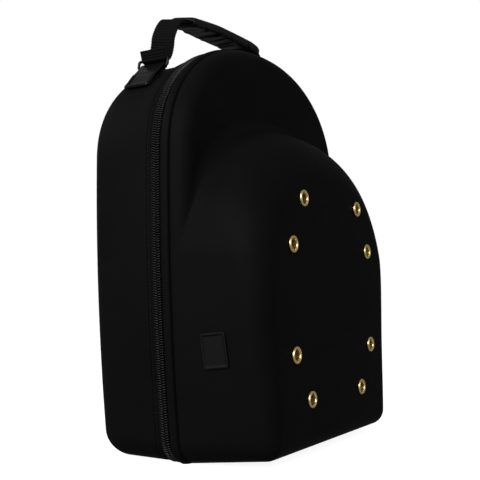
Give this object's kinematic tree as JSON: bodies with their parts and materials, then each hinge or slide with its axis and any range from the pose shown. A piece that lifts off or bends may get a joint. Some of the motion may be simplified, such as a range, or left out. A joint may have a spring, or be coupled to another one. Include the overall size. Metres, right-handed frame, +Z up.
{
  "type": "cap carrier",
  "caption": "Moulded hard-foam carrier for caps: an arched back tray and a domed front with vent eyelets, zipped together, with a padded carry handle on top.",
  "frame": {"origin": "on the floor, under the middle of the object's box", "axes": "+Z up, the domed front towards -Y, the back tray towards +Y, +X to the right seen from the front"},
  "size_m": [0.2664, 0.161, 0.3694],
  "materials": {
    "shell_cloth": "black knit cloth over moulded foam, matt",
    "zipper_tape": "black woven tape, matt",
    "zipper_coil": "black nylon, satin",
    "webbing": "black ribbed webbing",
    "grip_satin": "black satin weave, padded",
    "rubber_patch": "black moulded rubber, satin",
    "tab_gloss": "black coated leather look, glossy",
    "black_metal": "black lacquer, glossy",
    "brass": "polished, a little worn"
  },
  "bodies": {
    "root": {"back_shell": "shell_cloth", "front_shell": "shell_cloth", "rim_bead": "shell_cloth", "zipper_tape_front": "zipper_tape", "zipper_tape_back": "zipper_tape", "zipper_coil": "zipper_coil", "hinge_strip": "zipper_tape", "zipper_slider": "black_metal", "eyelet_1": "brass", "eyelet_2": "brass", "eyelet_3": "brass", "eyelet_4": "brass", "eyelet_5": "brass", "eyelet_6": "brass", "eyelet_7": "brass", "eyelet_8": "brass", "side_patch": "rubber_patch", "handle_webbing": "webbing", "handle_grip": "grip_satin", "ring_near": "black_metal", "ring_far": "black_metal", "tab_near": "tab_gloss", "tab_far": "tab_gloss"}
  },
  "joints": []
}
